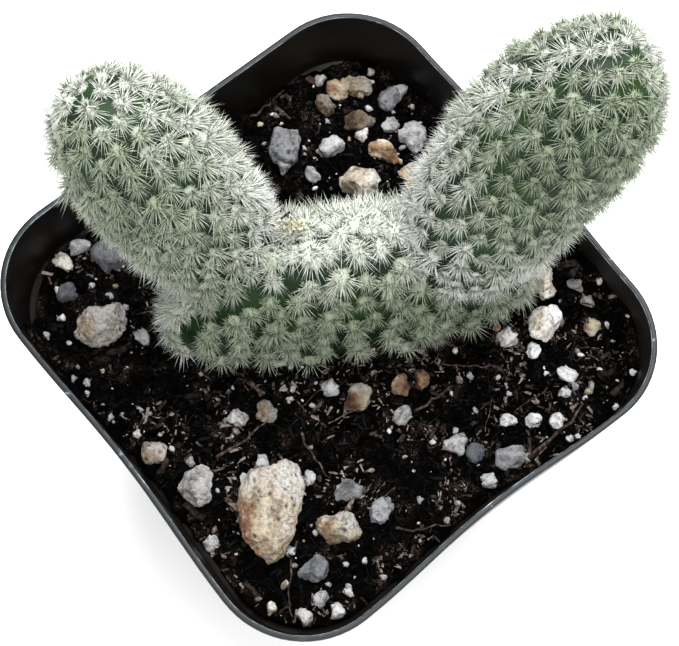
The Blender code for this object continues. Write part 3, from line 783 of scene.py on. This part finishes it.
def strand(seed, steps=7):
    """A wiry strand, 1 mm long and 0.06 mm thick before it is sized."""
    bpy.ops.mesh.primitive_cylinder_add(vertices=4, radius=0.03 * MM, depth=MM, location=(0, 0, 0),
                                        rotation=(0, math.pi / 2, 0))
    wire = bpy.context.object
    settle(wire)
    edit(wire)
    for cut in range(1, steps):
        bpy.ops.mesh.select_all(action="SELECT")
        bpy.ops.mesh.bisect(plane_co=((cut / steps - 0.5) * MM, 0, 0), plane_no=(1, 0, 0))
    leave_edit()
    for vertex in wire.data.vertices:
        way = Vector((vertex.co.x / (0.5 * MM) + seed * 7.7, seed, 0))
        bend = noise.noise_vector(way) * 0.22 * MM
        vertex.co += Vector((0, bend.y, abs(bend.z) * 0.5))
    return wire


rng = random.Random(19)
masters = [shred(seed) for seed in range(LITTER_KINDS)] + [strand(seed) for seed in range(LITTER_KINDS)]
spots = []
# Shreds and fibres share the loose soil's patches of painted shade, and are darker behind the plant
for _ in range(SHREDS):
    place, length = random_ground(rng), rng.uniform(*SHRED_LENGTHS) * rng.uniform(0.6, 1)
    tilt = tipped(rng, "X", 0.4) @ tipped(rng, "Y", 0.3)
    matrix = laid(place, 0.12 * MM, spun(rng) @ tilt, (length, length * rng.uniform(0.5, 1.1), length * 0.8))
    spots.append((rng.randrange(LITTER_KINDS), matrix,
                  (0.0, rng.uniform(0.25, 1) ** 1.6 * min(1.0, dapple(place)))))
for x, y, length, turn in FLAKES:
    place = seen_on_soil(x, y, 1.5 * MM)
    matrix = laid(place, 0.3 * MM, Matrix.Rotation(turn, 4, "Z") @ tipped(rng, "Y", 0.3), [length] * 3)
    spots.append((rng.randrange(LITTER_KINDS), matrix, (0.0, rng.uniform(0.35, 0.6))))
for _ in range(FIBRES):
    place, length = random_ground(rng, 2.2 * MM), rng.uniform(*FIBRE_LENGTHS)
    matrix = laid(place, 0.15 * MM, spun(rng) @ tipped(rng, "Y", 0.22),
                  (length, length * 0.45, rng.uniform(1.2, 2.4)))
    spots.append((LITTER_KINDS + rng.randrange(LITTER_KINDS), matrix,
                  (0.0, rng.uniform(0.2, 1) ** 1.5 * min(1.0, dapple(place)))))
litter = strew("bark_and_fibre", masters, spots)
keep_inside(litter)
drop(masters)
fit(litter, fibre_bark)

for number, (start, middle, end, radius) in enumerate(TWIGS, 1):
    curve = bpy.data.curves.new(f"twig_{number}", "CURVE")
    curve.dimensions = "3D"
    curve.bevel_depth, curve.bevel_resolution, curve.use_fill_caps = radius * MM, 1, True
    spline = curve.splines.new("POLY")
    spline.points.add(TWIG_STEPS)
    for i, point in enumerate(spline.points):
        t = i / TWIG_STEPS
        x, y = [((1 - t) ** 2 * a + 2 * t * (1 - t) * b + t * t * c) * MM
                for a, b, c in zip(start, middle, end)]
        wobble = noise.noise_vector(Vector((number * 3.3, t * 5, 0))) * 0.5 * MM
        x, y = x + wobble.x, y + wobble.y
        under = on_soil(x, y)
        point.co = (x, y, (under.z if under else SOIL_LEVEL) + (radius + 0.25) * MM, 1)
        point.radius = 1.1 - 0.6 * t
    hold(new_thing(f"twig_{number}", curve))
    bpy.ops.object.convert(target="MESH")
    twig = bpy.context.object
    edit(twig)
    bpy.ops.mesh.remove_doubles(threshold=0.005 * MM)
    leave_edit()
    set_share(twig, "bright", 0.75)
    fit(twig, fibre_bark)


# Pads: flattened stems full of water, with a dark green waxy skin that swells a little under each areole.
# The ears grow from the top edge of the old pad. Sizes are in mm. Tufts stand closer along the edge and on
# the back, and are combed to the base by sweep degrees. Their paleness is painted light and shade: a pad's
# tufts are paler or darker by pale, and paler at the foot, and along the thin edge and at the crest, where
# light shines through the hairs.
EAR = dict(neck=0.55, squareness=2.1, sweep=31, wool=0.9)
PADS = {
    "mother_pad": dict(base=(2.6, 2.4, 34.0), tip=(2.6, 5.0, 70.2), across=(1, 0.15, 0), half_width=22.5,
                       half_thickness=6.2, neck=0.0, widest=0.5, squareness=2.5, spacing=4.6, edge=0.4,
                       back=0.6, tuft=1.08, sweep=36, wool=1.15, pale=-0.08, foot=1.4, crest=1.0),
    "left_ear_pad": dict(EAR, base=(-10.5, 4.0, 61.5), tip=(-25.8, 13.1, 91.3), across=(1, 0, 0.35),
                         half_width=8.6, half_thickness=7.0, widest=0.6, spacing=2.75, edge=0.88, back=0.95,
                         tuft=1.02, pale=0.0, foot=0.45, crest=0.4),
    "right_ear_pad": dict(EAR, base=(14.5, 5.0, 61.5), tip=(31.7, 16.8, 95.8), across=(1, 0, -0.35),
                          half_width=9.7, half_thickness=7.8, widest=0.62, spacing=2.85, edge=0.86, back=0.93,
                          tuft=0.94, pale=-0.14, foot=1.6, crest=0.35),
}
CLOSEST_SHARE, EVENING_STEPS, PUSH_RANGE, PUSH_SHARE = 0.8, 14, 1.6, 0.12
SWELL_RADIUS, SWELL_HEIGHT = 1.5 * MM, 0.28 * MM


def pad_frame(pad):
    """The pad's own frame: X across, Y through, Z from its base to its tip."""
    base, tip = Vector(pad["base"]) * MM, Vector(pad["tip"]) * MM
    axis = (tip - base).normalized()
    across = Vector(pad["across"])
    across = (across - axis * across.dot(axis)).normalized()
    turn = Matrix((across, axis.cross(across), axis)).transposed()
    return Matrix.Translation(base) @ turn.to_4x4(), (tip - base).length


def pad_point(pad, length, s, angle):
    """A place on the skin at a share of the length, on a section swollen towards a rectangle."""
    if s < pad["widest"]:
        fall = 1 - s / pad["widest"]
        share = pad["neck"] + (1 - pad["neck"]) * (1 - fall * fall) ** (0.6 if pad["neck"] else 0.5)
    else:
        fall = (s - pad["widest"]) / (1 - pad["widest"])
        share = max(0.0, 1 - fall * fall) ** 0.5
    power = 2 / pad["squareness"]
    across, through = math.cos(angle), math.sin(angle)
    return Vector((math.copysign(abs(across) ** power, across) * pad["half_width"] * MM * share,
                   math.copysign(abs(through) ** power, through) * pad["half_thickness"] * MM * share ** 0.8,
                   s * length))


def make_flesh(name, pad):
    """A ball drawn out to the pad's form, with its pole hidden in what it grows from."""
    place, length = pad_frame(pad)
    bpy.ops.mesh.primitive_uv_sphere_add(segments=80, ring_count=56, radius=1, location=(0, 0, 0))
    flesh = bpy.context.object
    flesh.name = name + "_flesh"
    for vertex in flesh.data.vertices:
        s, angle = (vertex.co.z + 1) / 2, math.atan2(vertex.co.y, vertex.co.x)
        pole = abs(vertex.co.x) + abs(vertex.co.y) < 1e-6
        vertex.co = place @ (Vector((0, 0, s * length)) if pole else pad_point(pad, length, s, angle))
    bpy.ops.object.shade_smooth()
    return flesh


def crowd_of(spots):
    """A tree of places, to find the ones that lie near."""
    crowd = KDTree(len(spots))
    for n, spot in enumerate(spots):
        crowd.insert(spot, n)
    crowd.balance()
    return crowd


def areoles(pad, flesh, flesh_skin, rng):
    """Places on the skin, taken at random while they keep their distance, which is shorter along the pad's
    thin edge, and then pushed more even."""
    through = pad_frame(pad)[0].col[1].to_3d()

    def spacing(normal):
        facing = normal.dot(through)
        flat = min(1.0, max(0.0, (abs(facing) - 0.68) / 0.28))
        return pad["spacing"] * MM * (pad["edge"] + ((pad["back"] if facing > 0 else 1) - pad["edge"]) * flat)

    spots = []
    for vertex in rng.sample(list(flesh.data.vertices), len(flesh.data.vertices)):
        room = spacing(vertex.normal)
        if all((vertex.co - spot).length > CLOSEST_SHARE * room for spot, _ in spots):
            spots.append((vertex.co.copy(), room))
    for _ in range(EVENING_STEPS):
        crowd = crowd_of([spot for spot, _ in spots])
        moved = []
        for spot, room in spots:
            push = Vector()
            for other, _, distance in crowd.find_range(spot, PUSH_RANGE * room):
                if distance > 0:
                    push += (spot - other) / distance * (PUSH_RANGE * room - distance)
            near, normal, _, _ = flesh_skin.find_nearest(spot + push * PUSH_SHARE)
            moved.append((near, spacing(normal)))
        spots = moved
    return [spot for spot, _ in spots]


# Cactus skin: a waxy epidermis, so a dark green with a low sheen, patchy with age. Its papillae are too fine
# to show and only soften that sheen.
skin_finish, add = new_finish("waxy green epidermis")
patches = add("TexNoise", {"Scale": 1 / (7 * MM), "Detail": 4.0})
shades = add("ValToRGB", {"Fac": patches}, [(0.3, "#0b1a0d"), (0.5, "#122812"), (0.72, "#273f1a")])
papillae = add("TexVoronoi", {"Scale": 1 / (0.22 * MM)})
shade(skin_finish, shades, 0.5, specular=0.2, bump=(0.25, 0.05 * MM, papillae))

fleshes = {name: make_flesh(name, pad) for name, pad in PADS.items()}
skins = {name: skin_tree(flesh) for name, flesh in fleshes.items()}
tuft_spots = {}
for name, flesh in fleshes.items():
    tuft_spots[name] = areoles(PADS[name], flesh, skins[name], random.Random(3))
    crowd = crowd_of(tuft_spots[name])
    moved = []
    for vertex in flesh.data.vertices:
        near = crowd.find(vertex.co)[2] / SWELL_RADIUS
        moved.append(vertex.co + vertex.normal * SWELL_HEIGHT * (math.exp(-near * near) - 0.5))
    for vertex, spot in zip(flesh.data.vertices, moved):
        vertex.co = spot
    fit(flesh, skin_finish, name)


# Tufts: each areole bears a felted pad of tiny hairs and a spray of barbed bristles, thinner than a hair on
# the plant and drawn here as coarse as they need to show.
BRISTLE_RADIUS = 0.065 * MM
FELT_RADIUS, FELT_RISE = 0.85 * MM, 0.7 * MM
FELT_HAIRS, BRISTLES = 64, 44
TUFT_KINDS = 6
GOLDEN_TURN = (3 - math.sqrt(5)) / 2


def bristle(bend):
    """One bristle, 1 mm long, three-sided and closed, bent over towards its tip."""
    bpy.ops.mesh.primitive_cone_add(vertices=3, radius1=BRISTLE_RADIUS, radius2=0, depth=MM,
                                    location=(0, 0, MM / 2))
    spine = bpy.context.object
    settle(spine)
    if bend:
        edit(spine)
        bpy.ops.mesh.bisect(plane_co=(0, 0, 0.5 * MM), plane_no=(0, 0, 1))
        leave_edit()
    for vertex in spine.data.vertices:
        vertex.co.x += bend * vertex.co.z ** 2 / MM
    set_share(spine, "along", [vertex.co.z / MM for vertex in spine.data.vertices])
    return spine


def felt_cushion(seed):
    """The low woolly dome that the bristles of an areole stand in."""
    bpy.ops.mesh.primitive_ico_sphere_add(subdivisions=2, radius=FELT_RADIUS, location=(0, 0, 0))
    dome = bpy.context.object
    dome.scale, dome.location = (1.2, 1, FELT_RISE / FELT_RADIUS), (0.15 * MM, 0, 0)
    settle(dome)
    for vertex in dome.data.vertices:
        vertex.co *= 1 + 0.5 * noise.noise(vertex.co / (0.5 * MM) + Vector((seed * 3.3, 0, 0)))
    # The cushion takes the grey of the hairs' painted root shade
    set_share(dome, "along", 0.28)
    return dome


def spray(name, masters, count, rng, leans, lengths, girth, depth, comb=0.0, cushion=None):
    """Hairs fanned from the middle of a tuft, longer towards X, the side of the pad's base. Their roots lie
    at a share of the cushion's size, and a comb angle lays them down over it."""
    placed = []
    if cushion is not None:
        placed.append((cushion, Matrix.Identity(4), (0.0, 0.5)))
    for n in range(count):
        least, most = leans
        lean = math.radians(least + (most - least) * math.sqrt((n + 0.5) / count)) + rng.uniform(-0.15, 0.15)
        turn = 2 * math.pi * GOLDEN_TURN * n + rng.uniform(-0.3, 0.3)
        length = rng.uniform(*lengths) * (1 + 0.25 * math.cos(turn) * math.sin(lean))
        out = Vector((math.cos(turn), math.sin(turn), 0))
        root = out * depth * FELT_RADIUS * math.sin(lean) + Vector((0, 0, depth * FELT_RISE * math.cos(lean)))
        lay = (Matrix.Rotation(turn, 4, "Z") @ Matrix.Rotation(lean + comb, 4, "Y")
               @ Matrix.Rotation(rng.uniform(0, 2 * math.pi), 4, "Z"))
        placed.append((rng.choice(masters), laid(root, 0, lay, (girth, girth, length)),
                       (0.0, rng.uniform(0.0, 1.0))))
    return strew(name, SHAPES, placed)


# Glochids: dry hollow hairs of clean cellulose, painted greyish at the roots for the shade deep in each tuft
# and almost white at the tips for the light through them. Their barbs are too fine to show, so the bump is as
# coarse as wool.
hair, add = new_finish("glochid bristles")
along, bright = [add("Attribute", out="Fac", attribute_name=name) for name in ("along", "bright")]
shades = add("ValToRGB", {"Fac": along}, [
    (0.0, "#70766b"), (0.2, "#a8ada1"), (0.6, "#d9dcd5"), (0.95, "#fafaf8")])
# A tuft's tone is painted light: greener where less light reaches, white where light shines through it
tones = add("ValToRGB", {"Fac": bright}, [(0.0, "#a7b49b"), (0.45, "#d0d7c7"), (0.85, "#ffffff")])
toned = add("Mix", {0: 1.0, 6: shades, 7: tones}, out=2, data_type="RGBA", blend_type="MULTIPLY")
wool = add("TexNoise", {"Scale": 1 / (0.18 * MM), "Detail": 3.0})
shade(hair, toned, 0.5, ior=1.4, bump=(0.8, 0.12 * MM, wool))

rng = random.Random(5)
SHAPES = [bristle(0.0), bristle(0.22)] + [felt_cushion(seed) for seed in range(TUFT_KINDS)]
felts = [spray("felt", (0,), FELT_HAIRS, rng, leans=(0, 85), lengths=(0.5, 0.95), girth=1.1, depth=0.93,
               comb=math.radians(48), cushion=2 + kind) for kind in range(TUFT_KINDS)]
sprays = [spray("spray", (0, 1), BRISTLES, rng, leans=(0, 66), lengths=(1.4, 2.6), girth=1.0, depth=0.65)
          for _ in range(TUFT_KINDS)]
drop(SHAPES)
for name, pad in PADS.items():
    place, length = pad_frame(pad)
    to_base, through = -place.col[2].to_3d(), place.col[1].to_3d()
    spots = []
    for spot in tuft_spots[name]:
        inside = any((spot - near).dot(normal) < 0 for near, normal, _, _ in
                     (skins[other].find_nearest(spot) for other in PADS if other != name))
        if inside or spot.z < ground(spot.x, spot.y) - 0.3 * MM:
            continue
        _, normal, _, _ = skins[name].find_nearest(spot)
        down = (to_base - normal * to_base.dot(normal) + through * 0.01).normalized()
        turned = Matrix((down, normal.cross(down), normal)).transposed().to_4x4() @ tipped(rng, "Z", 0.6)
        sweep = Matrix.Rotation(math.radians(pad["sweep"] * rng.uniform(0.6, 1.3)), 4, "Y")
        up_pad = (spot - place.translation).dot(-to_base) / length
        # Tufts on the thin edge or the crest grow larger, and paler as painted light shining through the
        # hairs
        edge_and_crest = min(1.0, max(1 - abs(normal.dot(through)), pad["crest"] * (up_pad - 0.8) / 0.2))
        size = pad["tuft"] * rng.uniform(0.75, 1.2) * (1 + 0.15 * edge_and_crest)
        # Painted light and shade: pale sets a pad's tufts paler or darker, and foot pales them low on the pad
        pale = pad["pale"] + pad["foot"] * max(0.0, 0.6 - up_pad)
        bright = min(1.0, max(0.0, pale + 0.7 * edge_and_crest + rng.uniform(0.08, 0.42)))
        stand = Matrix.Translation(spot) @ turned
        spots.append((rng.randrange(TUFT_KINDS), stand, sweep, size, (0.0, bright)))
    for kind, shapes in (("felt", felts), ("bristles", sprays)):
        placed = [(n, stand @ (sweep @ Matrix.Scale(size, 4) if kind == "bristles" else
                               Matrix.Scale(size * pad["wool"], 4)), share)
                  for n, stand, sweep, size, share in spots]
        fit(strew(name.replace("pad", kind), shapes, placed), hair)
drop(felts + sprays)


# Litter in the wool: a dry, yellowish crust of crumbs and a straw. Both lie loose, caught by the bristles
# at the old pad's crest beside the left ear.
CRUST_MIDDLE, CRUST_SPREAD = Vector((-3.5, 5.4, 72.1)), Vector((0.85, 0.4, 0.15))
CRUST_CRUMBS, CRUST_SIZES = 26, (0.5, 1.1)
STRAW_ENDS, STRAW_RADIUS = (Vector((-4.2, 6.9, 72.1)), Vector((-6.8, 5.1, 71.3))), 0.14

# Dry crust: dull and matt, olive yellow with dark specks
crust_finish, add = new_finish("dry yellowish crust")
specks = add("TexNoise", {"Scale": 1 / (0.4 * MM), "Detail": 4.0})
shades = add("ValToRGB", {"Fac": specks}, [(0.36, "#35321c"), (0.47, "#858263"), (0.6, "#b9b7a2")])
shade(crust_finish, shades, 0.7)

rng = random.Random(12)
masters = [rough_lump(seed + 80, 1, 0.5) for seed in range(3)]
spots = []
for _ in range(CRUST_CRUMBS):
    place = (CRUST_MIDDLE + CRUST_SPREAD * random_way(rng)) * MM
    size = rng.uniform(*CRUST_SIZES)
    matrix = laid(place, 0, tumbled(rng), (size, size * 0.7, size * 0.5))
    spots.append((rng.randrange(len(masters)), matrix, (0.0, 1.0)))
crust = strew("crust_in_wool", masters, spots, smooth=False)
drop(masters)
fit(crust, crust_finish)
start, end = [place * MM for place in STRAW_ENDS]
bpy.ops.mesh.primitive_cylinder_add(vertices=6, radius=STRAW_RADIUS * MM, depth=(end - start).length,
                                    location=(start + end) / 2,
                                    rotation=(end - start).to_track_quat("Z", "Y").to_euler())
straw = bpy.context.object
straw.name = "straw_in_wool"
settle(straw)
set_share(straw, "bright", 0.7)
fit(straw, fibre_bark)


# Studio: a pale board for a floor, under two soft lamps, one above and behind and one in front, with a
# white surround.
LIGHTS = (
    ("key", (0.14, 0.32, 0.80), 0.80, 15.8),
    ("fill", (0.0, -0.42, 0.74), 0.90, 6.0),
)
LIT_PLACE, SURROUND = Vector((0, 0, 0.06)), 0.7
bpy.ops.mesh.primitive_plane_add(size=6, location=(0, 0, 0))
floor = bpy.context.object
floor.name = "floor"
# Painted board: an even, matt near-white that shows only soft shadows
floor_finish, add = new_finish("pale floor")
shade(floor_finish, "#f7f7f7", 0.9)
floor.data.materials.append(floor_finish)

for name, place, size, power in LIGHTS:
    lamp = bpy.data.lights.new(name, "AREA")
    lamp.shape, lamp.size, lamp.energy = "DISK", size, power
    light = new_thing(name, lamp)
    light.location = place
    light.rotation_euler = (LIT_PLACE - Vector(place)).to_track_quat("-Z", "Y").to_euler()
world = bpy.data.worlds.new("white surround")
world.use_nodes = True
feed(world.node_tree, world.node_tree.nodes["Background"], {"Color": "#ffffff", "Strength": SURROUND})
bpy.context.scene.world = world
bpy.context.scene.view_settings.view_transform = "Standard"
